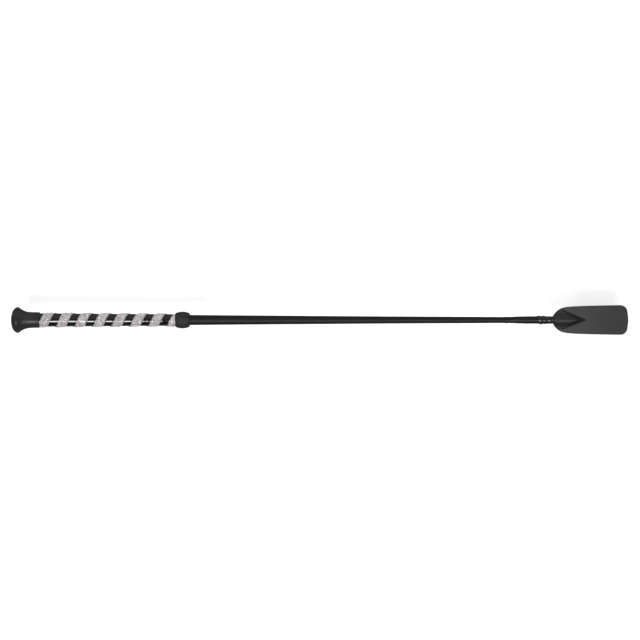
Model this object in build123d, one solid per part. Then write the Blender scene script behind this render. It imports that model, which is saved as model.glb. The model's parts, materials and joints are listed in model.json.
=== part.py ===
from build123d import *
import os
from math import atan2, cos, degrees, radians, sin

# Riding crop, all sizes in mm. Stations named *_X run along the shaft from the domed butt end.
# The row's origin is the middle of the grip on the shaft's axis, +X runs to the tongue's tip and
# +Z is the normal of the tongue's patched face.

OVERALL_LENGTH = 650.0
ORIGIN_X = 101.75

# Rod and handle
ROD_START_X = 9.5
ROD_END_X = 593.5
ROD_BUTT_R = 3.5
ROD_TIP_R = 2.0
GRIP_START_X = 9.5
GRIP_END_X = 181.0
GRIP_BUTT_R = 7.23
GRIP_FORE_R = 6.08
GRIP_SKIN_T = 0.7

# Pommel cap
CAP_MOUTH_X = 30.3
CAP_RIM_X = 7.0
CAP_RIM_R = 13.7
CAP_DOME_R = 25.0
CAP_SHOULDER_R = 10.2
CAP_SLEEVE_R = 8.3
CAP_LIP_R = 0.9

# Diamante strip: a left-handed helix on the grip
BAND_PITCH = 19.4
BAND_WIDTH = 10.4
BAND_PHASE_X = 7.9
BAND_TURNS = 9
BAND_T = 0.45
EDGING_W = 0.6
EDGING_T = 0.6
GLUE_GAP = 0.05
STONE_R = 1.05
STONE_H = 0.7
STONE_TABLE = 0.55
STONE_STEP_DEG = 26.0
STONE_OFFSET = 2.3

# Knot between grip and shaft
KNOT_START_X = 173.2
KNOT_END_X = 187.8
KNOT_CROWN_X = 181.2
KNOT_CROWN_R = 8.9
KNOT_START_R = 7.35
KNOT_END_R = 7.05
KNOT_CORE_R = 6.7

# Braided shaft: stations and outer radii of the slow taper
BRAID_T = 0.55
BRAID_OUTER = [(181.1, 5.36), (247.0, 4.80), (401.0, 3.71), (519.3, 3.15), (526.9, 3.13)]

# Sleeve over the tongue's tail: stations and inner radii
WRAP_T = 0.30
WRAP_INNER = [(519.3, 3.15), (527.0, 3.13), (534.0, 3.50), (545.0, 3.68), (552.0, 3.66), (570.5, 3.56)]
TAIL_START_X = 527.1

# Lace wound over the sleeve's end: a right-handed helix
LACE_START_X = 551.9
LACE_TURNS = 3.0
LACE_PITCH = 4.75
LACE_W = 4.3
LACE_INNER_R = 4.02
LACE_T = 0.45
LACE_CHAMFER = 0.7

# Tongue
TONGUE_TOP_Z = -2.1
TONGUE_T = 2.2
TONGUE_START_X = 570.6
TONGUE_HALF_W = 15.65
TONGUE_CORNER_R = 7.3
TONGUE_BOW = 0.9
BEND_X = 606.6
BEND_GAP = 0.3

# Patch over the rod's end
PATCH_START_X = 571.7
PATCH_APEX_X = 604.0
PATCH_UPPER = (579.2, 10.7)
PATCH_LOWER = (578.6, -9.6)
PATCH_NECK_HALF_W = 4.7
PATCH_T = 0.9
PATCH_BUTT_R = 3.1
PATCH_TIP_R = 2.95

# Stitching along the patch's two slanted sides
STITCHES_PER_SIDE = 10
STITCH_R = 0.35
STITCH_LENGTH = 2.5
STITCH_ANGLE = 24.0
STITCH_OUTSET = 0.95

BEND_Z = TONGUE_TOP_Z - TONGUE_T / 2


def grip_radius(x):
    """Outer radius of the grip's skin at a station."""
    share = (x - GRIP_START_X) / (GRIP_END_X - GRIP_START_X)
    return GRIP_BUTT_R + share * (GRIP_FORE_R - GRIP_BUTT_R)


def rod_radius(x):
    """Radius of the tapered rod at a station."""
    share = (x - ROD_START_X) / (ROD_END_X - ROD_START_X)
    return ROD_BUTT_R + share * (ROD_TIP_R - ROD_BUTT_R)


def turned(outline):
    """Solid of revolution about the shaft's axis from closed (station, radius) corners."""
    return revolve(make_face(Polyline(*outline, close=True)), Axis.X, 360)


def turned_shell(outer, inner):
    """Tube between two (station, radius) lines."""
    return turned(outer + inner[::-1])


def inset(line, amount):
    """The same stations with every radius smaller by amount."""
    return [(x, r - amount) for x, r in line]


def core_rod():
    return turned([(ROD_START_X, 0), (ROD_START_X, ROD_BUTT_R), (ROD_END_X, ROD_TIP_R), (ROD_END_X, 0)])


def handle_core():
    ends = (GRIP_START_X, GRIP_END_X)
    outer = [(x, grip_radius(x) - GRIP_SKIN_T) for x in ends]
    return turned_shell(outer, [(x, rod_radius(x)) for x in ends])


def grip_skin():
    ends = (GRIP_START_X, GRIP_END_X)
    outer = [(x, grip_radius(x)) for x in ends]
    return turned_shell(outer, inset(outer, GRIP_SKIN_T))


def pommel_cap():
    """Hollow mushroom cap: domed end, rounded rim, concave flare and a straight sleeve."""
    dome_edge_x = CAP_DOME_R - (CAP_DOME_R**2 - CAP_SHOULDER_R**2) ** 0.5
    dome_mid_r = CAP_SHOULDER_R / 2
    dome_mid_x = CAP_DOME_R - (CAP_DOME_R**2 - dome_mid_r**2) ** 0.5
    lip_x = CAP_MOUTH_X - CAP_LIP_R
    bore_mouth_r = grip_radius(CAP_MOUTH_X)
    edges = [
        ThreePointArc((0, 0), (dome_mid_x, dome_mid_r), (dome_edge_x, CAP_SHOULDER_R)),
        ThreePointArc((dome_edge_x, CAP_SHOULDER_R), (4.4, 12.6), (CAP_RIM_X, CAP_RIM_R)),
        ThreePointArc((CAP_RIM_X, CAP_RIM_R), (8.0, 13.45), (8.9, 12.85)),
        ThreePointArc((8.9, 12.85), (13.2, 10.2), (19.5, 8.5)),
        Line((19.5, 8.5), (lip_x, CAP_SLEEVE_R)),
        ThreePointArc(
            (lip_x, CAP_SLEEVE_R),
            (lip_x + CAP_LIP_R * sin(radians(45)), CAP_SLEEVE_R - CAP_LIP_R * (1 - cos(radians(45)))),
            (CAP_MOUTH_X, CAP_SLEEVE_R - CAP_LIP_R),
        ),
        Line((CAP_MOUTH_X, CAP_SLEEVE_R - CAP_LIP_R), (CAP_MOUTH_X, bore_mouth_r)),
        Line((CAP_MOUTH_X, bore_mouth_r), (GRIP_START_X, GRIP_BUTT_R)),
        Line((GRIP_START_X, GRIP_BUTT_R), (GRIP_START_X, 0)),
        Line((GRIP_START_X, 0), (0, 0)),
    ]
    return revolve(make_face(edges), Axis.X, 360)


def helix_edge(start_x, radius, turns, pitch, cone_angle, left_handed):
    """A helix about +Z that starts at height start_x."""
    return Edge.make_helix(
        pitch, turns * pitch, radius, (0, 0, start_x), (0, 0, 1), cone_angle, left_handed
    )


def helical_strip(corners, turns, pitch, cone_angle, left_handed):
    """Closed strip about +X whose section has the given (station, radius) corners.

    Faces between neighbouring helices run along straight lines, so a face between two helices
    of one cone lies on that cone.
    """
    edges = [helix_edge(x, r, turns, pitch, cone_angle, left_handed) for x, r in corners]
    faces = [Face.make_surface_from_curves(a, b) for a, b in zip(edges, edges[1:] + edges[:1])]
    for end in (0, 1):
        faces.append(Face(Wire.make_polygon([edge.position_at(end) for edge in edges])))
    return Rot(0, 90, 0) * Solid(Shell(faces))


def band_strip(offset, width, thickness):
    """Part of the diamante strip: its left side, width and thickness on the grip's cone."""
    cone_angle = -Vector(GRIP_END_X - GRIP_START_X, GRIP_BUTT_R - GRIP_FORE_R).get_angle(Vector(1, 0))
    corners = []
    for x_side, height in ((0, 0), (0, thickness), (width, thickness), (width, 0)):
        x = BAND_PHASE_X + offset - BAND_WIDTH / 2 + x_side
        corners.append((x, grip_radius(x) + GLUE_GAP + height))
    strip = helical_strip(corners, BAND_TURNS, BAND_PITCH, cone_angle, True)
    return strip & between(CAP_MOUTH_X + GLUE_GAP, KNOT_START_X - GLUE_GAP)


def between(x_start, x_end):
    """A round bar about the shaft's axis, larger than anything on the grip."""
    bar_r = 2 * GRIP_BUTT_R
    return turned([(x_start, 0), (x_start, bar_r), (x_end, bar_r), (x_end, 0)])


def diamante_backing():
    return band_strip(EDGING_W + GLUE_GAP, BAND_WIDTH - 2 * (EDGING_W + GLUE_GAP), BAND_T)


def diamante_edging():
    """The two fine metal lines beside the backing."""
    near = band_strip(0, EDGING_W, EDGING_T)
    far = band_strip(BAND_WIDTH - EDGING_W, EDGING_W, EDGING_T)
    return Compound([near.solid(), far.solid()])


def large_crystals():
    """Faceted stones in two staggered rows along the strip."""
    stone = loft([
        RegularPolygon(STONE_R, 8),
        Pos(0, 0, STONE_H) * RegularPolygon(STONE_TABLE, 8),
    ])
    stones = []
    first_x = CAP_MOUTH_X + STONE_R + 0.3
    last_x = KNOT_START_X - STONE_R - 0.3
    for step in range(int(BAND_TURNS * 360 / STONE_STEP_DEG)):
        angle = step * STONE_STEP_DEG
        side = 1 if step % 2 else -1
        x = BAND_PHASE_X + BAND_PITCH * angle / 360 + side * STONE_OFFSET
        if first_x < x < last_x:
            base_r = grip_radius(x) + BAND_T + 2 * GLUE_GAP
            out = Vector(0, -sin(radians(angle)), -cos(radians(angle)))
            seat = Plane(origin=Vector(x, 0, 0) + out * base_r, x_dir=(1, 0, 0), z_dir=out)
            stones.append((seat.location * stone).solid())
    return Compound(stones)


def shaft_padding():
    """Wound filler between the rod and the braid."""
    outer = inset(BRAID_OUTER, BRAID_T)
    return turned_shell(outer, [(x, rod_radius(x)) for x in (outer[0][0], outer[-1][0])])


def shaft_braid():
    return turned_shell(BRAID_OUTER, inset(BRAID_OUTER, BRAID_T))


def knot_foundation():
    """Turned cord ring under the knot, stepped over the grip's end and the shaft."""
    shaft_r = BRAID_OUTER[0][1]
    return turned([
        (KNOT_START_X, KNOT_CORE_R),
        (KNOT_END_X, KNOT_CORE_R),
        (KNOT_END_X, shaft_r),
        (GRIP_END_X, shaft_r),
        (GRIP_END_X, GRIP_FORE_R),
        (KNOT_START_X, grip_radius(KNOT_START_X)),
    ])


def knot_collar():
    """Barrel of the Turk's-head knot."""
    crown = ThreePointArc((KNOT_START_X, KNOT_START_R), (KNOT_CROWN_X, KNOT_CROWN_R), (KNOT_END_X, KNOT_END_R))
    inside = Polyline(
        (KNOT_END_X, KNOT_END_R),
        (KNOT_END_X, KNOT_CORE_R),
        (KNOT_START_X, KNOT_CORE_R),
        (KNOT_START_X, KNOT_START_R),
    )
    return revolve(make_face([crown, inside]), Axis.X, 360)


def tail_wrap():
    return turned_shell(inset(WRAP_INNER, -WRAP_T), WRAP_INNER)


def binding_lace():
    """Thick lace wound over the end of the sleeve, its turns side by side."""
    outer_r = LACE_INNER_R + LACE_T
    corners = [
        (LACE_START_X, LACE_INNER_R),
        (LACE_START_X + LACE_CHAMFER, outer_r),
        (LACE_START_X + LACE_W - LACE_CHAMFER, outer_r),
        (LACE_START_X + LACE_W, LACE_INNER_R),
    ]
    return helical_strip(corners, LACE_TURNS, LACE_PITCH, 0, False)


def tongue_outline():
    """Flat shape of the tongue: narrow neck, full shoulders, nearly straight sides, round corners."""
    corner_x = OVERALL_LENGTH - TONGUE_BOW - TONGUE_CORNER_R
    corner_y = TONGUE_HALF_W - TONGUE_CORNER_R
    corner_mid = TONGUE_CORNER_R * cos(radians(45))
    shoulder = Spline((TONGUE_START_X, 4.3), (574.5, 9.3), (579.3, 12.35), (586.5, 13.95), (598.5, 14.7),
                      (622.5, 15.35), (corner_x, TONGUE_HALF_W), tangents=((0.55, 1), (1, 0)))
    corner = ThreePointArc(
        (corner_x, TONGUE_HALF_W),
        (corner_x + corner_mid, corner_y + corner_mid),
        (corner_x + TONGUE_CORNER_R, corner_y),
    )
    half_end = ThreePointArc(
        (corner_x + TONGUE_CORNER_R, corner_y),
        (OVERALL_LENGTH - TONGUE_BOW / 4, corner_y / 2),
        (OVERALL_LENGTH, 0),
    )
    upper = [shoulder, corner, half_end]
    lower = [mirror(edge, Plane.XZ) for edge in upper]
    neck = Line((TONGUE_START_X, -4.3), (TONGUE_START_X, 4.3))
    return make_face(upper + lower + [neck])


def leather_between(side_profile):
    """The tongue's outline with a thickness profile drawn in the XZ plane."""
    bar = extrude(side_profile, amount=2 * TONGUE_HALF_W, both=True)
    sheet = extrude(Pos(0, 0, TONGUE_TOP_Z - 2 * TONGUE_T) * tongue_outline(), amount=3 * TONGUE_T)
    return bar & sheet


def bend_disc(radius):
    """Disc in the XZ plane centred on the bend line."""
    return Plane.XZ * Pos(BEND_X, BEND_Z) * Circle(radius)


def tongue_slab(x_start, x_end):
    """Rectangle in the XZ plane through the leather's thickness."""
    middle = (x_start + x_end) / 2
    return Plane.XZ * Pos(middle, BEND_Z) * Rectangle(x_end - x_start, TONGUE_T)


def tongue_root():
    """Leather from the wrapped tail to the bend line."""
    sheet = leather_between(tongue_slab(TONGUE_START_X, BEND_X) - bend_disc(TONGUE_T / 2 + BEND_GAP))
    tail_end_x = TONGUE_START_X + 1.0
    inner = [(x, rod_radius(x)) for x in (TAIL_START_X, tail_end_x)]
    outer = [(TAIL_START_X, 3.13)] + WRAP_INNER[2:] + [(tail_end_x, WRAP_INNER[-1][1])]
    return sheet + turned_shell(outer, inner)


def tongue_flap():
    """Free end of the leather, rounded at the bend line so that it turns without touching."""
    return leather_between(tongue_slab(BEND_X, OVERALL_LENGTH + TONGUE_T) + bend_disc(TONGUE_T / 2))


def patch_outline():
    """V shape: neck, two shoulders and an apex beyond the rod's end."""
    upper_neck = (PATCH_START_X, PATCH_NECK_HALF_W)
    lower_neck = (PATCH_START_X, -PATCH_NECK_HALF_W)
    return make_face([
        Line(lower_neck, upper_neck),
        ThreePointArc(upper_neck, (574.9, 8.3), PATCH_UPPER),
        Line(PATCH_UPPER, (PATCH_APEX_X, 0)),
        Line((PATCH_APEX_X, 0), PATCH_LOWER),
        ThreePointArc(PATCH_LOWER, (574.9, -7.9), lower_neck),
    ])


def tongue_patch():
    """Leather laid over the rod's end: flat at its sides and raised in the middle."""
    flat = Pos(0, 0, TONGUE_TOP_Z) * extrude(patch_outline(), amount=PATCH_T)
    ridge = turned([
        (PATCH_START_X, 0),
        (PATCH_START_X, PATCH_BUTT_R),
        (ROD_END_X, PATCH_TIP_R),
        (ROD_END_X + 2.0, 1.9),
        (PATCH_APEX_X - 1.5, 0),
    ])
    above = extrude(Pos(0, 0, TONGUE_TOP_Z) * patch_outline(), amount=3 * PATCH_BUTT_R)
    rod = turned([
        (PATCH_START_X - 1, 0),
        (PATCH_START_X - 1, rod_radius(PATCH_START_X - 1)),
        (ROD_END_X, ROD_TIP_R),
        (ROD_END_X, 0),
    ])
    return flat + (ridge & above) - rod


def patch_stitching():
    """Stitches lying on the tongue, slanted against the patch's two straight sides."""
    stitch = Rot(0, 90, 0) * Cylinder(STITCH_R, STITCH_LENGTH)
    stitches = []
    for corner, side in ((PATCH_UPPER, 1), (PATCH_LOWER, -1)):
        run = Vector(PATCH_APEX_X, 0) - Vector(*corner)
        heading = degrees(atan2(run.Y, run.X))
        outward = Vector(-run.Y, run.X).normalized() * side * STITCH_OUTSET
        for number in range(STITCHES_PER_SIDE):
            place = Vector(*corner) + run * ((number + 0.4) / (STITCHES_PER_SIDE + 1)) + outward
            seat = Pos(place.X, place.Y, TONGUE_TOP_Z + STITCH_R)
            stitches.append((seat * Rot(0, 0, heading - side * STITCH_ANGLE) * stitch).solid())
    return Compound(stitches)


NODES = {
    "pommel_cap": pommel_cap,
    "core_rod": core_rod,
    "handle_core": handle_core,
    "grip_skin": grip_skin,
    "diamante_backing": diamante_backing,
    "diamante_edging": diamante_edging,
    "large_crystals": large_crystals,
    "knot_foundation": knot_foundation,
    "knot_collar": knot_collar,
    "shaft_padding": shaft_padding,
    "shaft_braid": shaft_braid,
    "tail_wrap": tail_wrap,
    "binding_lace": binding_lace,
    "tongue_root": tongue_root,
    "tongue_patch": tongue_patch,
    "patch_stitching": patch_stitching,
    "tongue_flap": tongue_flap,
}

os.makedirs("parts", exist_ok=True)
for name, build in NODES.items():
    export_step(Pos(-ORIGIN_X, 0, 0) * build(), f"parts/{name}.step")
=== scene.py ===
"""Looks of the riding crop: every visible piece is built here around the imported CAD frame."""

import json
import math
import random

import bmesh
import bpy
import numpy as np
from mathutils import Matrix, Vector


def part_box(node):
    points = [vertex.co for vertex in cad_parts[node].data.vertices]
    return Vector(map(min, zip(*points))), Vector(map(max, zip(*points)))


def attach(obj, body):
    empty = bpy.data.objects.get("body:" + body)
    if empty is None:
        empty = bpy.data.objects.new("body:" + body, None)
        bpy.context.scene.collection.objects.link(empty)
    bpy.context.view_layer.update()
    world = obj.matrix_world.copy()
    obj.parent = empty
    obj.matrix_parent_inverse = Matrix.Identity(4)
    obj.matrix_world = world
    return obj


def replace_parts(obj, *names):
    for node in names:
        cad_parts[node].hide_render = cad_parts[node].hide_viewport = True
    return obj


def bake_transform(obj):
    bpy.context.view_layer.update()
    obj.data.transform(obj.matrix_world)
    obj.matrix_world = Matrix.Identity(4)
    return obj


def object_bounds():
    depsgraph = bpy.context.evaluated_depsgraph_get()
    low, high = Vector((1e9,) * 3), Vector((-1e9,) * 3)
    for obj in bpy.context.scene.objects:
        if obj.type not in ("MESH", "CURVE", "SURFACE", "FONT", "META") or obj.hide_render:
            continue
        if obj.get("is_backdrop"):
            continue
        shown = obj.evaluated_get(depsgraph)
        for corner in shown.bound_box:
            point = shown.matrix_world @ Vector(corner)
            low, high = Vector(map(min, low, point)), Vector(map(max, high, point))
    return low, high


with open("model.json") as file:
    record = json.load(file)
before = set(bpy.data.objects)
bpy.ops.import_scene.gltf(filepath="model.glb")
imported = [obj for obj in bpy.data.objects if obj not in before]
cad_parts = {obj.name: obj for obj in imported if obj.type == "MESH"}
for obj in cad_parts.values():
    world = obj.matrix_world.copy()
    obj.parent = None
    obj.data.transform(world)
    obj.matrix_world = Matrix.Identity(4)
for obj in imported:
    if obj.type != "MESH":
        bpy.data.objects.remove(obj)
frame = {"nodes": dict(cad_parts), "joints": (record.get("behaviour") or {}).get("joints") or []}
CAD_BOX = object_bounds()
MM = 0.001
TURN = 2 * math.pi

# ---------------------------------------------------------------- stations and radii from the frame


def span(node):
    """First and last station of a CAD node along the shaft."""
    low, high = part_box(node)
    return low.x, high.x


def turned_profile(node):
    """Outer radius of a turned CAD node, as a function of the station."""
    outside = []
    for vertex in frame["nodes"][node].data.vertices:
        at, facing = vertex.co, vertex.normal
        if facing.y * at.y + facing.z * at.z > 0.2 * math.hypot(at.y, at.z):
            outside.append(at)
    points = np.array(outside)
    stations = points[:, 0].round(5)
    radii = np.hypot(points[:, 1], points[:, 2])
    rings = np.unique(stations)
    outer = np.array([radii[stations == ring].max() for ring in rings])
    return lambda x: np.interp(x, rings, outer)


BUTT_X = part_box("pommel_cap")[0].x
CAP_MOUTH_X = span("pommel_cap")[1]
KNOT_START_X, KNOT_END_X = span("knot_collar")
WRAP_START_X, WRAP_END_X = span("tail_wrap")
TONGUE_END_X = span("tongue_flap")[1]
TONGUE_LOW_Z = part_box("tongue_flap")[0].z
TONGUE_TOP_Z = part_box("tongue_flap")[1].z
TONGUE_HALF_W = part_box("tongue_flap")[1].y
BEND_X = frame["joints"][0]["pos_m"][0]
grip_radius = turned_profile("grip_skin")
braid_radius = turned_profile("shaft_braid")
wrap_radius = turned_profile("tail_wrap")
knot_radius = turned_profile("knot_collar")


def from_butt(millimetres):
    """Station of a point given by its distance from the butt."""
    return BUTT_X + millimetres * MM


# Diamante strip
BAND_PITCH = 19.4 * MM
BAND_FRONT_X = from_butt(17.6)
BAND_WIDTH = 10.4 * MM
BAND_HEIGHT = 0.5 * MM
EDGING_R = 0.33 * MM
STONE_STEP = math.radians(26)
STONE_OFFSET = 2.3 * MM
SCATTER_SEED = 11
FACET_SEED = 5

# Braid and knot
BRAID_THREADS = 24
BRAID_REPEAT = 2.8 * MM
BRAID_THICKNESS = 0.42 * MM
KNOT_LEADS = 13
KNOT_BIGHTS = 16
KNOT_STRAND_W = 1.74 * MM
KNOT_STRAND_T = 0.55 * MM

# Sleeve and lace
LACE_TURNS = 3
LACE_WIDTH = 5.3 * MM
LACE_TUCK = 0.08

# Tongue and patch
EDGE_ROUND = 0.75 * MM
BEND_LIMIT = math.radians(60)
PATCH_START_X, PATCH_APEX_X = span("tongue_patch")
PATCH_UPPER_X, PATCH_UPPER_Y = from_butt(579.2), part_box("tongue_patch")[1].y
PATCH_LOWER_X, PATCH_LOWER_Y = from_butt(578.6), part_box("tongue_patch")[0].y
PATCH_NECK_HALF_W = 4.7 * MM
PATCH_T = 0.9 * MM
PATCH_RISE = 4.2 * MM
STITCHES_PER_SIDE = 10

# Stage
FLOOR_SIZE = 60.0
FLOOR_GAP = 4 * MM
LIGHT_DISTANCE = 1.15
LIGHT_LEAN = math.radians(27)
LENS = 100
CROP_SHARE_OF_PICTURE = 0.965

# ---------------------------------------------------------------- mesh helpers


def around(x, radius, angle):
    """Points about the shaft's axis: angle 0 faces +Z, a quarter turn faces +Y."""
    x, radius, angle = np.broadcast_arrays(x, radius, angle)
    return np.stack([x, radius * np.sin(angle), radius * np.cos(angle)], -1)


def piece(name, points, faces, material, smooth=True, uv=None, sharp_columns=None):
    """A mesh object. uv gives one (u, v) per point; sharp_columns marks grid columns as hard edges."""
    mesh = bpy.data.meshes.new(name)
    mesh.from_pydata(np.asarray(points).reshape(-1, 3).tolist(), [], faces)
    mesh.polygons.foreach_set("use_smooth", [smooth] * len(mesh.polygons))
    if uv is not None:
        corners = np.zeros(len(mesh.loops), int)
        mesh.loops.foreach_get("vertex_index", corners)
        layer = mesh.uv_layers.new(name="lie")
        layer.data.foreach_set("uv", np.asarray(uv).reshape(-1, 2)[corners].ravel())
    if sharp_columns is not None:
        column, sharp = sharp_columns
        ends = np.zeros(len(mesh.edges) * 2, int)
        mesh.edges.foreach_get("vertices", ends)
        a, b = column[ends.reshape(-1, 2).T]
        attribute = mesh.attributes.new("sharp_edge", "BOOLEAN", "EDGE")
        attribute.data.foreach_set("value", (a == b) & np.isin(a, sharp))
    mesh.materials.append(material)
    mesh.update()
    made = bpy.data.objects.new(name, mesh)
    bpy.context.scene.collection.objects.link(made)
    return made


def grid_faces(rows, columns, close_rows=False, close_columns=False, first=0):
    """Quads of a rows x columns grid of points."""
    r = np.arange(rows if close_rows else rows - 1)
    c = np.arange(columns if close_columns else columns - 1)
    r, c = np.meshgrid(r, c, indexing="ij")
    r2, c2 = (r + 1) % rows, (c + 1) % columns
    quads = np.stack([r * columns + c, r2 * columns + c, r2 * columns + c2, r * columns + c2], -1)
    return (quads.reshape(-1, 4) + first).tolist()


def lathe(name, stations, radii, material, sides, wobble):
    """Closed solid of revolution. wobble(x, angle) adds to the radius."""
    angle = np.linspace(0, TURN, sides, endpoint=False)
    x = np.asarray(stations)[:, None]
    radius = np.asarray(radii)[:, None] + np.zeros((1, sides))
    radius = radius + wobble(x + np.zeros((1, sides)), angle[None, :] + np.zeros((len(stations), 1)))
    points = around(x, radius, angle[None, :]).reshape(-1, 3)
    faces = grid_faces(len(stations), sides, close_columns=True)
    last = (len(stations) - 1) * sides
    faces.append(list(range(sides)))
    faces.append([last + i for i in reversed(range(sides))])
    uv = np.stack(np.broadcast_arrays(x / MM, angle[None, :] / TURN), -1)
    return piece(name, points, faces, material, uv=uv)


def smooth_curve(corners, steps=12):
    """Catmull-Rom curve through a few corners."""
    p = np.array(corners, float)
    p = np.vstack([2 * p[0] - p[1], p, 2 * p[-1] - p[-2]])
    t = np.linspace(0, 1, steps, endpoint=False)[:, None]
    runs = []
    for a, b, c, d in zip(p, p[1:], p[2:], p[3:]):
        runs.append(0.5 * (2 * b + (c - a) * t + (2 * a - 5 * b + 4 * c - d) * t**2
                           + (3 * b - a - 3 * c + d) * t**3))
    return np.vstack(runs + [p[-2:-1]])


def strand(x, angle, radius, width, section):
    """Ribbon laid on a surface of revolution along a path of (station, angle, radius).

    section lists (share of half the width, height above the path) round the ribbon's closed
    outline. Returns points as (steps, corners, 3) and their (along, across) in millimetres.
    """
    dx, dc = np.gradient(x), radius * np.gradient(angle)
    run = np.hypot(dx, dc)
    across_x, across_c = -dc / run, dx / run
    shares = np.array([s for s, _ in section])
    heights = np.array([h for _, h in section])
    width = np.broadcast_to(width, x.shape)
    reach = width[:, None] / 2 * shares[None, :]
    points = around(
        x[:, None] + reach * across_x[:, None],
        radius[:, None] + heights[None, :],
        angle[:, None] + reach * across_c[:, None] / radius[:, None],
    )
    along = np.cumsum(run)[:, None] + np.zeros_like(reach)
    return points, np.stack([along, reach], -1) / MM


class Weave:
    """Collects ribbons into one mesh."""

    def __init__(self):
        self.points, self.faces, self.uv, self.columns, self.count = [], [], [], [], 0

    def add(self, points, uv, closed=False):
        """Adds a ribbon of (steps, corners, 3) points: a closed loop, or one with a face at each end."""
        steps, corners = points.shape[:2]
        self.points.append(points.reshape(-1, 3))
        self.uv.append(uv.reshape(-1, 2))
        self.columns.append(np.tile(np.arange(corners), steps))
        self.faces += grid_faces(steps, corners, closed, True, self.count)
        if not closed:
            last = self.count + (steps - 1) * corners
            self.faces.append([self.count + i for i in range(corners)])
            self.faces.append([last + i for i in reversed(range(corners))])
        self.count += steps * corners

    def finish(self, name, material, sharp):
        """The mesh object, with the ribbons' corners numbered in sharp as hard edges."""
        return piece(name, np.vstack(self.points), self.faces, material, uv=np.vstack(self.uv),
                     sharp_columns=(np.concatenate(self.columns), sharp))


# ---------------------------------------------------------------- material helpers


def set_range(node, low, high, to_low, to_high):
    """Fills in a Map Range node's four ends."""
    ends = {"From Min": low, "From Max": high, "To Min": to_low, "To Max": to_high}
    for socket, number in ends.items():
        node.inputs[socket].default_value = number


class Finish:
    """A Principled material with helpers for the nodes that drive it."""

    def __init__(self, name, base, roughness, **constants):
        self.material = bpy.data.materials.new(name)
        self.material.use_nodes = True
        self.nodes = self.material.node_tree.nodes
        self.links = self.material.node_tree.links
        self.shader = self.nodes["Principled BSDF"]
        self.shader.inputs["Base Color"].default_value = (*base, 1)
        self.shader.inputs["Roughness"].default_value = roughness
        for socket, value in constants.items():
            self.shader.inputs[socket.replace("_", " ")].default_value = value

    def coordinates(self, scale=(1, 1, 1), uv=False):
        """Object coordinates in metres, or the piece's own lie in millimetres, times scale."""
        source = self.nodes.new("ShaderNodeUVMap" if uv else "ShaderNodeTexCoord")
        if uv:
            source.uv_map = "lie"
        mapping = self.nodes.new("ShaderNodeMapping")
        mapping.inputs["Scale"].default_value = scale
        self.links.new(source.outputs["UV" if uv else "Object"], mapping.inputs["Vector"])
        return mapping.outputs["Vector"]

    def noise(self, scale, detail=3, uv=False, stretch=(1, 1, 1)):
        node = self.nodes.new("ShaderNodeTexNoise")
        node.inputs["Scale"].default_value = scale
        node.inputs["Detail"].default_value = detail
        self.links.new(self.coordinates(stretch, uv), node.inputs["Vector"])
        return node.outputs["Fac"]

    def cells(self, scale, feature="F1", stretch=(1, 1, 1)):
        node = self.nodes.new("ShaderNodeTexVoronoi")
        node.feature = feature
        node.inputs["Scale"].default_value = scale
        self.links.new(self.coordinates(stretch), node.inputs["Vector"])
        return node.outputs["Distance"]

    def waves(self, scale, uv=True, direction="X"):
        node = self.nodes.new("ShaderNodeTexWave")
        node.bands_direction = direction
        node.inputs["Scale"].default_value = scale
        self.links.new(self.coordinates(uv=uv), node.inputs["Vector"])
        return node.outputs["Fac"]

    def fit(self, value, low, high, to_low, to_high):
        """value from low to high, brought to to_low to to_high."""
        node = self.nodes.new("ShaderNodeMapRange")
        set_range(node, low, high, to_low, to_high)
        self.links.new(value, node.inputs["Value"])
        return node.outputs["Result"]

    def combine(self, a, b, operation="ADD"):
        node = self.nodes.new("ShaderNodeMath")
        node.operation = operation
        for socket, value in zip(node.inputs, (a, b)):
            if isinstance(value, (int, float)):
                socket.default_value = value
            else:
                self.links.new(value, socket)
        return node.outputs["Value"]

    def mottled(self, scale, detail, low, high, first, second):
        """Base colour between two colours, by a noise taken from low to high."""
        return self.colour(self.mixed(self.fit(self.noise(scale, detail), low, high, 0, 1), first, second))

    def mixed(self, factor, first, second):
        """Colour between two colours or colour outputs."""
        node = self.nodes.new("ShaderNodeMix")
        node.data_type = "RGBA"
        self.links.new(factor, node.inputs[0])
        for socket, value in ((node.inputs[6], first), (node.inputs[7], second)):
            if isinstance(value, tuple):
                socket.default_value = (*value, 1)
            else:
                self.links.new(value, socket)
        return node.outputs[2]

    def attribute(self, name):
        node = self.nodes.new("ShaderNodeAttribute")
        node.attribute_name = name
        return node.outputs["Fac"]

    def colour(self, output):
        self.links.new(output, self.shader.inputs["Base Color"])
        return self

    def rough(self, output):
        self.links.new(output, self.shader.inputs["Roughness"])
        return self

    def bump(self, height, depth_mm, strength=1.0):
        """Adds a bump of that depth; several bumps chain."""
        node = self.nodes.new("ShaderNodeBump")
        node.inputs["Distance"].default_value = depth_mm * MM
        node.inputs["Strength"].default_value = strength
        self.links.new(height, node.inputs["Height"])
        normal = self.shader.inputs["Normal"]
        if normal.is_linked:
            self.links.new(normal.links[0].from_socket, node.inputs["Normal"])
        self.links.new(node.outputs["Normal"], normal)
        return self


# ---------------------------------------------------------------- materials


def cap_rubber():
    f = Finish("cap_rubber", (0.012, 0.012, 0.012), 0.42, Specular_IOR_Level=0.5)
    f.mottled(90, 4, 0.35, 0.7, (0.0095, 0.0097, 0.01), (0.0145, 0.0145, 0.0145))
    f.rough(f.fit(f.noise(220, 5), 0.3, 0.7, 0.33, 0.46))
    f.bump(f.noise(1400, 3), 0.02, 0.5)
    return f.bump(f.noise(120, 2), 0.1, 0.25).material


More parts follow.
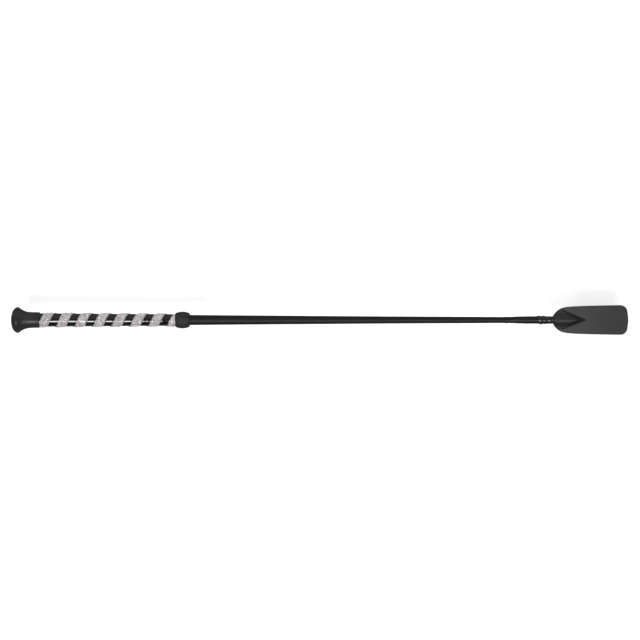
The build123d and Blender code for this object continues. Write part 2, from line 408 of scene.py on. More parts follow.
def patent_skin():
    f = Finish("patent_skin", (0.002, 0.0016, 0.0018), 0.06, Specular_IOR_Level=0.95)
    f.mottled(150, 3, 0.4, 0.7, (0.0014, 0.0011, 0.0012), (0.0035, 0.0028, 0.003))
    f.rough(f.fit(f.noise(300, 4), 0.3, 0.8, 0.04, 0.11))
    f.bump(f.noise(240, 1, stretch=(1.3, 1, 1)), 0.14, 0.3)
    return f.bump(f.noise(1500, 2), 0.004, 0.2).material


def strip_mesh():
    f = Finish("strip_mesh", (0.12, 0.105, 0.11), 0.4, Metallic=0.3)
    f.mottled(600, 3, 0.35, 0.65, (0.02, 0.017, 0.018), (0.11, 0.1, 0.104))
    f.bump(f.waves(2.2, uv=True), 0.08, 0.7)
    return f.bump(f.waves(2.2, uv=True, direction="Y"), 0.08, 0.7).material


def silver_edge():
    f = Finish("silver_edge", (0.86, 0.83, 0.84), 0.25, Metallic=0.5)
    f.rough(f.fit(f.noise(900, 3), 0.3, 0.7, 0.16, 0.34))
    f.colour(f.mixed(f.noise(300, 2), (0.56, 0.535, 0.545), (0.76, 0.74, 0.745)))
    return f.bump(f.noise(2600, 2), 0.02, 0.4).material


def crystal():
    f = Finish("crystal", (0.7, 0.66, 0.68), 0.07, Metallic=0.32, Specular_IOR_Level=0.9)
    # Each facet has a chance tone: low tones paint dark facets and high ones near-white flashes, a painted
    # sparkle; the middle tone is the stones' own pinkish silver.
    tone = f.attribute("tone")
    clear = f.mixed(f.fit(tone, 0.0, 0.45, 0, 1), (0.12, 0.095, 0.105), (0.56, 0.51, 0.53))
    f.colour(f.mixed(f.fit(tone, 0.45, 1.0, 0, 1), clear, (0.95, 0.905, 0.92)))
    return f.rough(f.fit(f.noise(800, 2), 0.3, 0.7, 0.14, 0.26)).material


def knot_leather():
    f = Finish("knot_leather", (0.014, 0.0132, 0.0135), 0.5, Specular_IOR_Level=0.45)
    f.mottled(420, 4, 0.35, 0.7, (0.011, 0.0102, 0.0105), (0.0175, 0.0165, 0.017))
    f.rough(f.fit(f.noise(900, 3), 0.3, 0.7, 0.44, 0.58))
    f.bump(f.cells(3200), 0.03, 0.4)
    return f.bump(f.noise(1, 4, uv=True, stretch=(0.4, 3, 1)), 0.03, 0.3).material


def braid_thread():
    f = Finish("braid_thread", (0.004, 0.0037, 0.0038), 0.4, Specular_IOR_Level=0.42)
    fibres = f.noise(1, 4, uv=True, stretch=(0.5, 7, 1))
    f.colour(f.mixed(f.fit(fibres, 0.3, 0.7, 0, 1), (0.002, 0.0018, 0.0019), (0.006, 0.0056, 0.0058)))
    f.rough(f.fit(fibres, 0.3, 0.7, 0.36, 0.52))
    return f.bump(fibres, 0.05, 0.6).material


def glossy_sleeve():
    f = Finish("glossy_sleeve", (0.0045, 0.0045, 0.0047), 0.38, Specular_IOR_Level=0.42)
    f.rough(f.fit(f.noise(260, 4, stretch=(0.3, 1, 1)), 0.3, 0.7, 0.3, 0.44))
    f.colour(f.mixed(f.noise(160, 3, stretch=(0.3, 1, 1)), (0.003, 0.003, 0.0032), (0.007, 0.007, 0.0073)))
    f.bump(f.noise(700, 3, stretch=(0.12, 1, 1)), 0.08, 0.5)
    return f.bump(f.noise(2400, 2), 0.012, 0.4).material


def glossy_lace():
    f = Finish("glossy_lace", (0.004, 0.004, 0.0042), 0.14, Specular_IOR_Level=0.9)
    f.rough(f.fit(f.noise(500, 3), 0.3, 0.7, 0.1, 0.22))
    f.colour(f.mixed(f.noise(400, 3), (0.003, 0.003, 0.0032), (0.008, 0.008, 0.0083)))
    return f.bump(f.noise(900, 3), 0.06, 0.4).material


def grained_leather():
    f = Finish("grained_leather", (0.03, 0.03, 0.031), 0.48, Specular_IOR_Level=0.6)
    pebbles = f.cells(1550, "SMOOTH_F1", (1, 1.25, 1))
    creases = f.cells(1550, "DISTANCE_TO_EDGE", (1, 1.25, 1))
    broad = f.noise(45, 4)
    even = f.mixed(f.fit(broad, 0.35, 0.68, 0, 1), (0.017, 0.017, 0.0168), (0.018, 0.0175, 0.0215))
    split = f.nodes.new("ShaderNodeSeparateXYZ")
    f.links.new(f.coordinates(), split.inputs["Vector"])
    # Painted highlight: the colour turns much lighter towards the patch, broken up by the broad noise, where
    # light falls on the tongue's shoulder.
    towards_patch = f.fit(split.outputs["X"], from_butt(590), from_butt(632), 1, 0)
    painted_highlight_share = f.combine(towards_patch, f.fit(broad, 0.2, 0.8, 0.7, 1.2), "MULTIPLY")
    with_painted_highlight = f.mixed(painted_highlight_share, even, (0.042, 0.042, 0.043))
    grained = f.mixed(f.fit(creases, 0.0, 0.2, 1, 0), with_painted_highlight, (0.012, 0.012, 0.0125))
    f.colour(f.mixed(f.fit(f.attribute("rim"), 0.25, 0.7, 0, 1), grained, (0.006, 0.006, 0.006)))
    f.rough(f.fit(f.noise(500, 4), 0.3, 0.7, 0.36, 0.52))
    f.bump(f.fit(pebbles, 0.0, 0.7, 1, 0), 0.21, 1.0)
    f.bump(f.noise(3800, 3), 0.03, 0.5)
    return f.bump(f.noise(150, 3), 0.2, 0.25).material


def smooth_leather():
    f = Finish("smooth_leather", (0.009, 0.009, 0.009), 0.4, Specular_IOR_Level=0.75)
    f.mottled(130, 4, 0.35, 0.7, (0.005, 0.005, 0.005), (0.0085, 0.0085, 0.0087))
    f.rough(f.fit(f.noise(600, 4), 0.3, 0.7, 0.42, 0.56))
    f.bump(f.cells(1900), 0.09, 0.8)
    return f.bump(f.noise(5200, 2), 0.012, 0.5).material


def heavy_thread():
    f = Finish("heavy_thread", (0.003, 0.003, 0.003), 0.5, Specular_IOR_Level=0.4)
    twist = f.noise(1, 3, uv=True, stretch=(2.5, 4, 1))
    f.colour(f.mixed(f.fit(twist, 0.3, 0.7, 0, 1), (0.0015, 0.0015, 0.0015), (0.005, 0.005, 0.005)))
    f.rough(f.fit(twist, 0.3, 0.7, 0.42, 0.6))
    return f.bump(twist, 0.04, 0.6).material


def fibreglass():
    f = Finish("fibreglass", (0.7, 0.69, 0.6), 0.4)
    f.colour(f.mixed(f.noise(900, 3, stretch=(0.02, 1, 1)), (0.6, 0.58, 0.48), (0.78, 0.77, 0.68)))
    return f.bump(f.noise(1200, 2, stretch=(0.02, 1, 1)), 0.03, 0.5).material


def build_up_foam():
    f = Finish("build_up_foam", (0.03, 0.03, 0.03), 0.8)
    f.colour(f.mixed(f.noise(700, 3), (0.02, 0.02, 0.02), (0.05, 0.05, 0.05)))
    return f.bump(f.cells(1400), 0.1, 0.6).material


def filler_cord():
    f = Finish("filler_cord", (0.012, 0.012, 0.012), 0.75)
    f.colour(f.mixed(f.noise(900, 3), (0.006, 0.006, 0.006), (0.018, 0.018, 0.018)))
    return f.bump(f.waves(900, uv=False), 0.1, 0.6).material


# ---------------------------------------------------------------- handle


def make_cap(material):
    """Mushroom cap: domed butt, rounded rim, bell flare, rolled mouth and a faint mould seam."""
    outline = [(0, 0.02), (0.12, 2.4), (0.4, 4.5), (1.05, 7.2), (2.0, 9.75), (3.3, 11.75), (4.9, 13.0),
               (6.6, 13.62), (7.7, 13.55), (8.6, 13.05), (10.0, 12.05), (11.6, 11.05), (13.2, 10.2),
               (14.8, 9.52), (16.4, 9.02), (18.2, 8.68), (20.5, 8.47), (24.0, 8.34), (27.2, 8.3),
               (28.6, 8.28), (29.3, 8.22), (29.85, 8.0), (30.18, 7.68), (30.28, 7.4), (30.1, 7.12),
               (28.5, 7.0)]
    curve = smooth_curve(outline, 7)

    def seam(x, angle):
        near = np.exp(-((np.abs(np.sin(angle - 0.35)) / 0.012) ** 2))
        return near * 0.05 * MM

    made = lathe("cap", from_butt(curve[:, 0]), curve[:, 1] * MM, material, 256, seam)
    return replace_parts(made, "pommel_cap")


def make_grip(material):
    """Patent skin: slightly uneven, and drawn in where the strip presses on it."""
    first, last = span("grip_skin")
    x = np.arange(first, last, 0.35 * MM)

    def uneven(x, angle):
        long_wave = np.sin(x * 95 + 1.3 * np.sin(angle)) * np.sin(x * 41 + 2 * angle)
        short_wave = np.sin(x * 620 + 2 * np.sin(angle * 2 + x * 90))
        turns = (x - BAND_FRONT_X) / BAND_PITCH - angle / TURN
        from_strip = np.abs(turns - np.round(turns)) * BAND_PITCH - BAND_WIDTH / 2
        pressed = -0.06 * np.exp(-(((from_strip - 0.75 * MM) / (0.45 * MM)) ** 2))
        return (0.02 * long_wave + 0.006 * short_wave + pressed) * MM

    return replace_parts(lathe("grip_cover", x, grip_radius(x) - 0.02 * MM, material, 144, uneven), "grip_skin")


def band_path(offset, step):
    """Stations, angles and grip radii along the strip's middle line, moved by offset along the shaft."""
    x = np.arange(CAP_MOUTH_X - 6 * MM, KNOT_START_X + 6 * MM, step) + offset
    angle = TURN * (x - offset - BAND_FRONT_X) / BAND_PITCH
    return x, angle, grip_radius(x)


def make_backing(material):
    """Flexible strip, with rounded sides, that follows the grip's cone exactly."""
    x, angle, radius = band_path(0, 0.12 * MM)
    half = BAND_WIDTH / 2 - 2 * EDGING_R
    across = [(-1, 0.05), (-1, 0.3), (-0.96, 0.42), (0.96, 0.42), (1, 0.3), (1, 0.05)]
    columns = []
    for share, height in across:
        station = x + share * half
        columns.append(around(station, grip_radius(station) + height * MM, angle))
    points = np.stack(columns, 1)
    side = np.array([share * half / MM for share, _ in across])
    lie = np.stack(np.broadcast_arrays((angle * radius / MM)[:, None], side), -1)
    weave = Weave()
    weave.add(points, lie)
    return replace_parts(weave.finish("diamante_strip", material, [0, 5]), "diamante_backing")


def make_edging(material):
    """A bead chain along each side of the strip."""
    weave = Weave()
    section = np.linspace(0, TURN, 8, endpoint=False)
    bead = 0.62 * MM
    for side in (-1, 1):
        offset = side * (BAND_WIDTH / 2 - EDGING_R)
        x, angle, radius = band_path(offset, 0.016 * MM)
        along = np.cumsum(np.hypot(np.gradient(x), radius * np.gradient(angle)))
        steps = np.arange(0, along[-1], bead / 5)
        x, angle, radius = (np.interp(steps, along, values) for values in (x, angle, radius))
        size = EDGING_R * (0.62 + 0.38 * np.abs(np.sin(math.pi * steps / bead)))
        tilt = math.atan2(BAND_PITCH, TURN * float(radius.mean()))
        across = np.cos(section)[None, :] * size[:, None]
        points = around(
            x[:, None] + across * math.cos(tilt),
            (radius + EDGING_R)[:, None] + np.sin(section)[None, :] * size[:, None],
            angle[:, None] - across * math.sin(tilt) / radius[:, None],
        )
        lie = np.stack(np.broadcast_arrays(steps[:, None] / MM, section[None, :]), -1)
        weave.add(points, lie)
    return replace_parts(weave.finish("edge_chain", material, []), "diamante_edging")


def scattered_stones():
    """(station, angle, size) of every stone: large ones in two staggered rows, medium ones at
    random, and rows of fine ones across the strip wherever there is room."""
    rng = random.Random(SCATTER_SEED)
    radius = float(grip_radius((CAP_MOUTH_X + KNOT_START_X) / 2)) + BAND_HEIGHT
    half = BAND_WIDTH / 2 - 2 * EDGING_R
    first, last = CAP_MOUTH_X + 0.1 * MM, KNOT_START_X - 0.1 * MM
    turns = (last - first + BAND_WIDTH) / BAND_PITCH
    start_angle = TURN * (first - BAND_WIDTH / 2 - BAND_FRONT_X) / BAND_PITCH
    tilt = math.atan2(BAND_PITCH, TURN * radius)
    placed = []
    buckets = {}
    cell = 2.4 * MM

    def put(angle, offset, size, overlap):
        x = BAND_FRONT_X + BAND_PITCH * angle / TURN + offset
        if abs(offset) + size * 0.9 > half or not first + size < x < last - size:
            return
        c = angle * radius
        column, row = int(c // cell), int(x // cell)
        for i in (-1, 0, 1):
            for j in (-1, 0, 1):
                for c2, x2, size2 in buckets.get((column + i, row + j), ()):
                    if math.hypot(c - c2, x - x2) < (size + size2) * overlap:
                        return
        buckets.setdefault((column, row), []).append((c, x, size))
        placed.append((x, angle, size))

    first_step = math.ceil(start_angle / STONE_STEP)
    last_step = int((start_angle + turns * TURN) / STONE_STEP)
    for step in range(first_step, last_step + 1):
        side = 1 if step % 2 else -1
        put(step * STONE_STEP, side * STONE_OFFSET + rng.uniform(-0.6, 0.6) * MM, 1.1 * MM, 0.98)
    for size, tries in ((1.0, 260), (0.72, 2600)):
        for _ in range(tries):
            angle = start_angle + rng.random() * turns * TURN
            put(angle, rng.uniform(-half, half), size * MM * rng.uniform(0.93, 1.05), 0.98)
    pitch, fine = 0.68 * MM, 0.37 * MM
    length = turns * TURN * radius / math.cos(tilt)
    for row in range(int(length / pitch)):
        for column in range(-10, 11):
            along = (row + rng.uniform(-0.09, 0.09)) * pitch
            across = (column + 0.5 * (row % 2) + rng.uniform(-0.12, 0.12)) * pitch
            angle = start_angle + (along * math.cos(tilt) - across * math.sin(tilt)) / radius
            put(angle, across / math.cos(tilt), fine * rng.uniform(0.92, 1.0), 0.76)
    return placed


def make_stones(material):
    """Faceted stones: girdle, crown and table, each a little askew, sized and toned by chance; the facet tones
    paint the stones' sparkle.
    """
    rng = random.Random(FACET_SEED)
    points, faces, tones = [], [], []
    for x, angle, size in scattered_stones():
        sides = 12 if size > 0.9 * MM else 8 if size > 0.6 * MM else 6
        tiers = [(1.0, 0.0), (1.0, 0.16), (0.82, 0.42), (0.52, 0.58)]
        if sides == 6:
            tiers = [(1.0, 0.2), (0.6, 0.75)]
        spin, lean_x, lean_c = rng.uniform(0, TURN), rng.gauss(0, 0.09), rng.gauss(0, 0.09)
        base_r = float(grip_radius(x)) + BAND_HEIGHT - 0.1 * MM
        first = len(points)
        for tier, (share, height) in enumerate(tiers):
            for corner in range(sides):
                turn = spin + TURN * (corner + tier / 2) / sides
                u, v = share * size * math.cos(turn), share * size * math.sin(turn)
                up = height * size + 0.1 * MM + lean_x * u + lean_c * v
                points.append((x + u, angle, v, base_r + up))
        for tier in range(len(tiers) - 1):
            a, b = first + tier * sides, first + (tier + 1) * sides
            for corner in range(sides):
                after = (corner + 1) % sides
                faces.append((a + corner, b + corner, a + after))
                faces.append((a + after, b + corner, b + after))
                tones += [rng.random(), rng.random()]
        top = first + (len(tiers) - 1) * sides
        faces.append([top + corner for corner in range(sides)][::-1])
        faces.append([first + corner for corner in range(sides)])
        # Tables get higher chance tones, so more of them are painted as flashes; the hidden underside gets a
        # middle tone.
        tones += [0.25 + 0.75 * rng.random(), 0.5]
    x, angle, sideways, radius = np.array(points).T
    positions = np.stack([
        x,
        np.sin(angle) * radius + np.cos(angle) * sideways,
        np.cos(angle) * radius - np.sin(angle) * sideways,
    ], -1)
    made = piece("stones", positions, [list(f) for f in faces], material, smooth=False)
    made.data.attributes.new("tone", "FLOAT", "FACE").data.foreach_set("value", tones)
    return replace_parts(made, "large_crystals")


# ---------------------------------------------------------------- knot and shaft


def make_knot(material):
    """Turk's-head knot of one continuous strand, over one and under one."""
    steps = 5
    count = 2 * KNOT_LEADS * KNOT_BIGHTS * steps
    crossing = np.arange(count) / steps
    angle = crossing * math.pi / KNOT_BIGHTS
    half = (KNOT_END_X - KNOT_START_X) / 2 - KNOT_STRAND_W * 0.42
    phase = crossing / KNOT_LEADS
    zigzag = 1 - 2 * np.abs(phase % 2 - 1)
    rounded = np.sign(zigzag) * (np.abs(zigzag) - 0.035 * np.abs(zigzag) ** 12)
    x = (KNOT_START_X + KNOT_END_X) / 2 + rounded * half
    sign = np.where(np.floor(phase) % 2 == 0, 1, -1)
    bight = np.abs(crossing - KNOT_LEADS * np.round(phase)) < 0.5
    lift = np.where(bight, -0.4, sign * np.cos(math.pi * crossing)) * 0.12 * MM
    radius = knot_radius(x) - 0.12 * MM - KNOT_STRAND_T + lift
    weave = Weave()
    section = [(-1, 0.35), (-0.9, 0.85), (-0.5, 1.0), (0.5, 1.0), (0.9, 0.85), (1, 0.35), (0, 0)]
    section = [(share, height * KNOT_STRAND_T) for share, height in section]
    points, lie = strand(x, angle, radius, KNOT_STRAND_W, section)
    weave.add(points, lie, closed=True)
    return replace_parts(weave.finish("knot", material, [0, 5, 6]), "knot_collar")


def make_braid(material):
    """Braided cover: 24 threads, half of them each way, over two and under two."""
    first, last = span("shaft_braid")
    per_family = BRAID_THREADS // 2
    crossing = np.arange(0, (last - first) / (BRAID_REPEAT / 2), 1 / 3)
    x = first + crossing * BRAID_REPEAT / 2
    travel = crossing * math.pi / per_family
    radius = braid_radius(x)
    lean = np.cos(np.arctan(TURN * radius / per_family / BRAID_REPEAT))
    width = TURN * radius / per_family * lean * 0.95
    section = [(-1, 0.6), (-0.7, 0.95), (0.7, 0.95), (1, 0.6), (0, 0)]
    section = [(share, height * BRAID_THICKNESS) for share, height in section]
    weave = Weave()
    for direction in (1, -1):
        for thread in range(per_family):
            rhythm = np.cos(math.pi / 2 * (2 * thread + direction * crossing - 0.5))
            lift = direction * np.clip(1.35 * rhythm, -1, 1) * 0.13 * MM
            angle = direction * travel + TURN * thread / per_family
            points, lie = strand(x, angle, radius - BRAID_THICKNESS + lift, width, section)
            weave.add(points, lie + np.array([thread * 17.0, 0]))
    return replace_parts(weave.finish("braid", material, [0, 3, 4]), "shaft_braid")


# ---------------------------------------------------------------- tip


def make_sleeve(material):
    """Shrunk sleeve over the tongue's tail, with a turned-over seam and long creases."""
    x = np.linspace(WRAP_START_X, WRAP_END_X, 300)
    length = WRAP_END_X - WRAP_START_X

    def creases(x, angle):
        along = (x - WRAP_START_X) / length
        seam_angle = -0.75 + 0.85 * np.clip(along / 0.22, 0, 1) ** 1.5
        across = (angle - seam_angle + math.pi) % TURN - math.pi
        seam = 0.16 / (1 + np.exp(-np.clip(across * 14, -60, 60))) * np.exp(-np.clip(across, 0, None) * 0.9)
        folds = 0.07 * np.sin(3 * angle + 9 * along) * np.sin(5 * angle - 14 * along + 1)
        hem = 0.2 * np.exp(-((along - 0.03) / 0.02) ** 2) * (1 + 0.6 * np.sin(angle + 2.4))
        ragged = -0.25 * np.clip(1 - along / 0.012, 0, 1)
        return (seam - 0.06 + folds + hem + ragged) * MM

    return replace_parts(lathe("sleeve", x, wrap_radius(x), material, 144, creases), "tail_wrap")


def make_lace(material):
    """Thick varnished lace: three turns side by side, both ends underneath, the last pulled flatter."""
    first, last = span("binding_lace")
    pitch = (last - first - LACE_WIDTH + 1.0 * MM) / LACE_TURNS
    t = np.linspace(-LACE_TUCK, LACE_TURNS + LACE_TUCK, 900)
    angle = math.pi - TURN * t
    x = first + LACE_WIDTH / 2 - 0.5 * MM + pitch * t
    settle = np.clip((t - 1.3) / 0.9, 0, 1)
    height = (0.98 - 0.5 * settle) * MM
    base = wrap_radius(x) - 0.32 * MM
    ends = np.clip(np.minimum(t + LACE_TUCK, LACE_TURNS + LACE_TUCK - t) / 0.12, 0, 1) ** 0.5
    points = []
    for share in np.linspace(-1, 1, 11):
        rise = np.sqrt(np.clip(1 - abs(share) ** 2.2, 0, 1)) * height
        station = x + share * LACE_WIDTH / 2 * (0.4 + 0.6 * ends)
        points.append(around(station, base + rise * ends, angle + 0.12 * share))
    for share in (0.7, -0.7):
        points.append(around(x + share * LACE_WIDTH / 2, base - 0.25 * MM, angle))
    points = np.stack(points, 1)
    lie = np.stack(np.broadcast_arrays((t * TURN * 4)[:, None], np.arange(13.0)[None, :]), -1)
    weave = Weave()
    weave.add(points, lie)
    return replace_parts(weave.finish("lace", material, []), "binding_lace")


def tongue_half_width(x):
    """Half the tongue's width at a station: neck, shoulders, long sides and rounded end corners."""
    corner = 7.3 * MM
    bow = 0.9 * MM
    sides = smooth_curve([(569.5, 3.9), (570.6, 4.4), (572.2, 6.8), (574.5, 9.3), (576.9, 11.15),
                          (579.3, 12.35), (582.5, 13.3), (586.5, 13.95), (598.5, 14.7), (622.5, 15.35),
                          (642.0, 15.65)], 10)
    width = np.interp(x, from_butt(sides[:, 0]), sides[:, 1] * MM)
    corner_x = TONGUE_END_X - bow - corner
    reach = np.clip((x - corner_x) / corner, 0, 1)
    rounded = TONGUE_HALF_W - corner + corner * np.sqrt(1 - reach**2)
    width = np.where(x > corner_x, rounded, width)
    past = np.clip((x - (TONGUE_END_X - bow)) / bow, 0, 1)
    return np.where(x > TONGUE_END_X - bow, (TONGUE_HALF_W - corner) * np.sqrt(1 - past), width)


def outline_distance(x, y, half_width, first, last):
    """Distance from points inside a symmetric flat shape to its outline, which is open at its first end."""
    s = np.sort(np.concatenate([np.linspace(first, last, 700), np.linspace(last - 1.2 * MM, last, 250)]))
    w = half_width(s)
    outline = np.concatenate([np.stack([s, w], -1), np.stack([s, -w], -1)[::-1]])
    flat = np.stack([x.ravel(), y.ravel()], -1)
    result = np.empty(len(flat))
    for start in range(0, len(flat), 2000):
        block = flat[start:start + 2000]
        nearest = ((block[:, None, :] - outline[None]) ** 2).sum(-1).argmin(1)
        corner = outline[nearest]
        best = np.linalg.norm(block - corner, axis=1)
        for step in (-1, 1):
            side = outline[np.clip(nearest + step, 0, len(outline) - 1)] - corner
            length = np.maximum((side**2).sum(-1), 1e-18)
            share = np.clip(((block - corner) * side).sum(-1) / length, 0, 1)
            best = np.minimum(best, np.linalg.norm(block - corner - share[:, None] * side, axis=1))
        result[start:start + 2000] = best
    return result.reshape(x.shape)


def rounding(distance, radius):
    """0 on the outline, rising to 1 where the distance reaches the edge's radius."""
    share = np.clip(distance / radius, 0, 1)
    return (1 - (1 - share) ** 2.6) ** (1 / 2.6)


def sheet_piece(name, x, y, top, bottom, material):
    """Closed sheet from two grids of heights over one plan, which meet at both sides and at the last row."""
    rows, columns = x.shape
    upper = np.stack([x, y, top], -1).reshape(-1, 3)
    lower = np.stack([x, y, bottom], -1).reshape(-1, 3)
    below = rows * columns
    faces = grid_faces(rows, columns)
    faces += [[i + below for i in face[::-1]] for face in faces]
    faces += [[i + 1, i, below + i, below + i + 1] for i in range(columns - 1)]
    made = piece(name, np.vstack([upper, lower]), faces, material)
    work = bmesh.new()
    work.from_mesh(made.data)
    bmesh.ops.remove_doubles(work, verts=work.verts, dist=1e-7)
    bmesh.ops.recalc_face_normals(work, faces=work.faces)
    work.to_mesh(made.data)
    work.free()
    made.data.polygons.foreach_set("use_smooth", [True] * len(made.data.polygons))
    return made


def make_tongue(material):
    """One piece of pebbled leather that crosses the bend."""
    first = from_butt(570.8)
    body = np.linspace(first, TONGUE_END_X - 9 * MM, 190)
    end = TONGUE_END_X - 9 * MM * np.cos(np.linspace(0, math.pi / 2, 70)[1:]) ** 1.6
    x_rows = np.concatenate([body, end])
    share = np.sin(np.linspace(-math.pi / 2, math.pi / 2, 121))
    x = x_rows[:, None] + 0 * share[None, :]
    y = tongue_half_width(x_rows)[:, None] * share[None, :]
    distance = outline_distance(x, y, tongue_half_width, first - 2 * MM, TONGUE_END_X)
    distance[:, [0, -1]] = 0
    distance[-1] = 0
    half = (TONGUE_TOP_Z - TONGUE_LOW_Z) / 2
    middle = (TONGUE_TOP_Z + TONGUE_LOW_Z) / 2
    rise = half * rounding(distance, EDGE_ROUND)
    shoulder = np.clip((from_butt(590) - x) / (6 * MM), 0, 1)
    crease = 0.1 * MM * np.exp(-(((distance - 1.15 * MM) / (0.22 * MM)) ** 2)) * (0.25 + 0.75 * shoulder)
    wave = 0.05 * MM * np.sin(x * 210) * np.cos(y * 160) + 0.04 * MM * np.sin(x * 90 + y * 230)
    full = np.clip(distance / (2 * MM), 0, 1)
    top = middle + rise - crease + wave * full
    bottom = middle - rise
    made = sheet_piece("tongue", x, y, top, bottom, material)
    x, y = np.array([v.co[:2] for v in made.data.vertices]).T
    rim = np.exp(-outline_distance(x, y, tongue_half_width, first, TONGUE_END_X) / (0.4 * MM))
    made.data.attributes.new("rim", "FLOAT", "POINT").data.foreach_set("value", rim)
    return made


def patch_sides(x):
    """Lower and upper side of the V patch at a station."""
    sides = []
    for corner_x, corner_y, neck in ((PATCH_LOWER_X, PATCH_LOWER_Y, -PATCH_NECK_HALF_W),
                                     (PATCH_UPPER_X, PATCH_UPPER_Y, PATCH_NECK_HALF_W)):
        shoulder = (x - PATCH_START_X) / (corner_x - PATCH_START_X)
        curve = neck + (corner_y - neck) * np.sin(np.clip(shoulder, 0, 1) * math.pi / 2) ** 0.85
        slope = corner_y * (PATCH_APEX_X - x) / (PATCH_APEX_X - corner_x)
        sides.append(np.where(x < corner_x, curve, slope))
    return sides


def patch_height(x, y, side):
    """How far the patch stands above its flat margins over the rod; side is how far out it reaches there."""
    widest = np.where(y > 0, 7.8, 6.8) * MM
    reach = np.minimum(widest, np.maximum(side - 0.4 * MM, 0.8 * MM))
    along = np.clip((x - from_butt(593.7)) / (8.6 * MM), 0, 1)
    fade = 0.5 + 0.5 * np.cos(math.pi * along)
    spread = np.clip(np.abs(y + 0.25 * MM) / reach, 0, 1)
    return PATCH_RISE * fade * (1 - spread**2) ** 1.5


def make_patch(material):
    """Smooth leather drawn over the rod's end and stitched down along its two slanted sides."""
    rows = np.concatenate([
        np.linspace(PATCH_START_X - 1.2 * MM, PATCH_APEX_X - 1.5 * MM, 150),
        PATCH_APEX_X - 1.5 * MM * np.cos(np.linspace(0, math.pi / 2, 16)[1:]),
    ])
    share = 0.5 + 0.5 * np.sin(np.linspace(-math.pi / 2, math.pi / 2, 101))
    low, high = patch_sides(rows)
    x = rows[:, None] + 0 * share[None, :]
    y = low[:, None] + (high - low)[:, None] * share[None, :]
    slope = PATCH_UPPER_Y / (PATCH_APEX_X - PATCH_UPPER_X)
    sideways = np.minimum(y - low[:, None], high[:, None] - y) / math.hypot(1, slope)
    edge = rounding(sideways, 0.5 * MM)
    lift = patch_height(x, y, np.where(y > 0, high[:, None], -low[:, None]))
    top = TONGUE_TOP_Z + PATCH_T * edge + lift
    wrinkle = 0.05 * MM * np.sin(x * 420 + 3 * np.sin(y * 300)) * np.clip(lift / (2 * MM), 0, 1)
    top = top + wrinkle * edge
    top[:, [0, -1]] = TONGUE_TOP_Z
    bottom = np.minimum(TONGUE_TOP_Z, top)
    made = sheet_piece("patch", x, y, top, bottom, material)
    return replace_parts(made, "tongue_patch")


def thread_run(centre, thickness, twist=5.5):
    """Two-ply thread along a curve of (x, y, z) points: rings of points and their lie."""
    section = np.linspace(0, TURN, 12, endpoint=False)
    t = np.linspace(-1, 1, len(centre))
    ahead = np.gradient(centre[:, :2], axis=0)
    ahead /= np.linalg.norm(ahead, axis=1)[:, None]
    side = np.stack([-ahead[:, 1], ahead[:, 0]], -1)
    ply = 1 + 0.14 * np.cos(2 * (section[None, :] - t[:, None] * twist))
    thick = thickness / 2 * ply * (1 - 0.35 * np.abs(t[:, None]) ** 4)
    points = np.empty((len(t), len(section), 3))
    points[..., :2] = centre[:, None, :2] + side[:, None, :] * (thick * np.cos(section)[None, :])[..., None]
    points[..., 2] = centre[:, None, 2] + thick * np.sin(section)[None, :]
    lie = np.stack(np.broadcast_arrays(t[:, None] * 1.5, section[None, :]), -1)
    return points, lie


def make_stitching(material):
    """Heavy thread: slanted stitches that dip into the leather at both ends, and two small thread knots."""
    weave = Weave()
    for corner_x, corner_y, side, thickness in ((PATCH_UPPER_X, PATCH_UPPER_Y, 1, 0.98),
                                                (PATCH_LOWER_X, PATCH_LOWER_Y, -1, 1.1)):
        start = np.array([corner_x, corner_y])
        run = np.array([PATCH_APEX_X, 0]) - start
        length = np.hypot(*run)
        ahead = run / length
        outward = np.array([-ahead[1], ahead[0]]) * side
        for number in range(STITCHES_PER_SIDE):
            middle = start + run * (number + 0.72) / (STITCHES_PER_SIDE + 0.4) + outward * 0.1 * MM
            turn = side * math.radians(21)
            direction = np.array([ahead[0] * math.cos(turn) - ahead[1] * math.sin(turn),
                                  ahead[0] * math.sin(turn) + ahead[1] * math.cos(turn)])
            t = np.linspace(-1, 1, 25)
            flat = middle[None, :] + direction[None, :] * t[:, None] * 1.62 * MM
            over_edge = (flat - start) @ outward
            ground = TONGUE_TOP_Z + PATCH_T * np.clip(0.5 - over_edge / (0.9 * MM), 0, 1)
            height = ground + 0.28 * MM - 1.0 * MM * np.abs(t) ** 5
            weave.add(*thread_run(np.column_stack([flat, height]), thickness * MM))
    for centre_x, centre_y, loop in ((603.9, 0.0, 0.55), (579.4, -7.1, 0.42)):
        turn = np.linspace(0, 1.25 * TURN, 40)
        ring = np.column_stack([
            from_butt(centre_x) + loop * MM * np.cos(turn),
            centre_y * MM + loop * MM * np.sin(turn),
            TONGUE_TOP_Z + (0.55 if centre_y == 0 else 1.1) * MM + 0.12 * MM * np.sin(turn * 0.8),
        ])
        weave.add(*thread_run(ring, 0.7 * MM, 12))
    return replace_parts(weave.finish("stitching", material, []), "patch_stitching")


# ---------------------------------------------------------------- stage


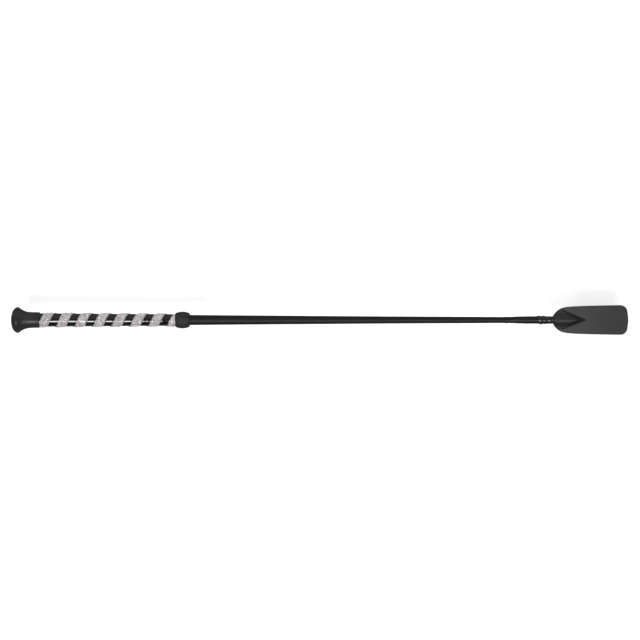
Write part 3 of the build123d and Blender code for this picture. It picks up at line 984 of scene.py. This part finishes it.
def make_stage():
    """Pale floor just below the lowest place the bent tongue reaches, soft lights and the camera."""
    floor_z = TONGUE_LOW_Z - (TONGUE_END_X - BEND_X) * math.sin(BEND_LIMIT) - FLOOR_GAP
    corners = [(a * FLOOR_SIZE, b * FLOOR_SIZE, floor_z) for a, b in ((-1, -1), (1, -1), (1, 1), (-1, 1))]
    f = Finish("pale_floor", (0.86, 0.86, 0.86), 0.9, Specular_IOR_Level=0.1)
    # Painted reflection shade: the floor's colour is dark for glossy rays, so the crop reflects a dim floor
    # while the camera sees it pale.
    glossy = f.nodes.new("ShaderNodeLightPath").outputs["Is Glossy Ray"]
    pale = f.mixed(f.noise(3, 2), (0.86, 0.86, 0.86), (0.88, 0.88, 0.88))
    f.colour(f.mixed(glossy, pale, (0.16, 0.155, 0.155)))
    floor = piece("floor", corners, [[0, 1, 2, 3]], f.material)
    floor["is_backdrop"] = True

    def softbox(name, x, length, depth, power):
        light = bpy.data.lights.new(name, "AREA")
        light.shape = "RECTANGLE"
        light.size, light.size_y, light.energy = length, depth, power
        made = bpy.data.objects.new(name, light)
        made.location = (x, -LIGHT_DISTANCE * math.sin(LIGHT_LEAN), LIGHT_DISTANCE * math.cos(LIGHT_LEAN))
        made.rotation_euler = (LIGHT_LEAN, 0, 0)
        made.visible_camera = False
        bpy.context.scene.collection.objects.link(made)

    softbox("handle_light", from_butt(-125), 0.34, 0.42, 4.9)
    softbox("knot_light", from_butt(265), 0.16, 0.14, 1.0)
    softbox("tip_light", from_butt(690), 0.34, 0.24, 3.2)

    world = bpy.data.worlds.new("studio")
    bpy.context.scene.world = world
    world.cycles.sampling_method = "NONE"
    world.use_nodes = True
    nodes, links = world.node_tree.nodes, world.node_tree.links
    background = nodes["Background"]
    background.inputs["Color"].default_value = (1, 1, 1, 1)
    place = nodes.new("ShaderNodeTexCoord")
    split = nodes.new("ShaderNodeSeparateXYZ")
    links.new(place.outputs["Generated"], split.inputs["Vector"])
    seen = nodes.new("ShaderNodeLightPath")
    strength = 1.0
    for ray, dark_y, bright_y, dark, bright in (("Is Diffuse Ray", -0.7, 0.7, 0.5, 1.75),
                                                ("Is Glossy Ray", -0.15, 0.6, 0.06, 0.36)):
        walls = nodes.new("ShaderNodeMapRange")
        walls.interpolation_type = "SMOOTHSTEP"
        set_range(walls, dark_y, bright_y, dark, bright)
        links.new(split.outputs["Y"], walls.inputs["Value"])
        choose = nodes.new("ShaderNodeMix")
        links.new(seen.outputs[ray], choose.inputs[0])
        if isinstance(strength, float):
            choose.inputs[2].default_value = strength
        else:
            links.new(strength, choose.inputs[2])
        links.new(walls.outputs["Result"], choose.inputs[3])
        strength = choose.outputs[0]
    links.new(strength, background.inputs["Strength"])

    camera = bpy.data.cameras.new("camera")
    camera.lens = LENS
    camera.sensor_width = 36
    camera.clip_end = 50
    seen_width = (TONGUE_END_X - BUTT_X) / CROP_SHARE_OF_PICTURE
    view = bpy.data.objects.new("camera", camera)
    view.location = ((BUTT_X + TONGUE_END_X) / 2, 0, seen_width / 2 / math.tan(camera.angle / 2))
    bpy.context.scene.collection.objects.link(view)
    bpy.context.scene.camera = view
    bpy.context.scene.view_settings.view_transform = "Standard"
    bpy.context.scene.view_settings.look = "None"


# ---------------------------------------------------------------- making

make_stage()

RIGID = [
    (make_cap, cap_rubber, "cap_rubber"),
    (make_grip, patent_skin, "patent_skin"),
    (make_backing, strip_mesh, "strip_mesh"),
    (make_edging, silver_edge, "silver_edge"),
    (make_stones, crystal, "crystal"),
    (make_knot, knot_leather, "knot_cord"),
    (make_braid, braid_thread, "braid_thread"),
    (make_sleeve, glossy_sleeve, "glossy_sleeve"),
    (make_lace, glossy_lace, "glossy_lace"),
    (make_patch, smooth_leather, "smooth_leather"),
    (make_stitching, heavy_thread, "heavy_thread"),
]
for make, finish, slot in RIGID:
    made = make(finish())
    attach(made, "crop")

tongue = make_tongue(grained_leather())
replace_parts(tongue, "tongue_root", "tongue_flap")
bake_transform(tongue)

for node, finish in (("core_rod", fibreglass), ("handle_core", build_up_foam), ("shaft_padding", filler_cord),
                     ("knot_foundation", filler_cord)):
    body = frame["nodes"][node]
    body.data.materials.clear()
    body.data.materials.append(finish())

boxes = [[list(corner) for corner in box] for box in (CAD_BOX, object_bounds())]
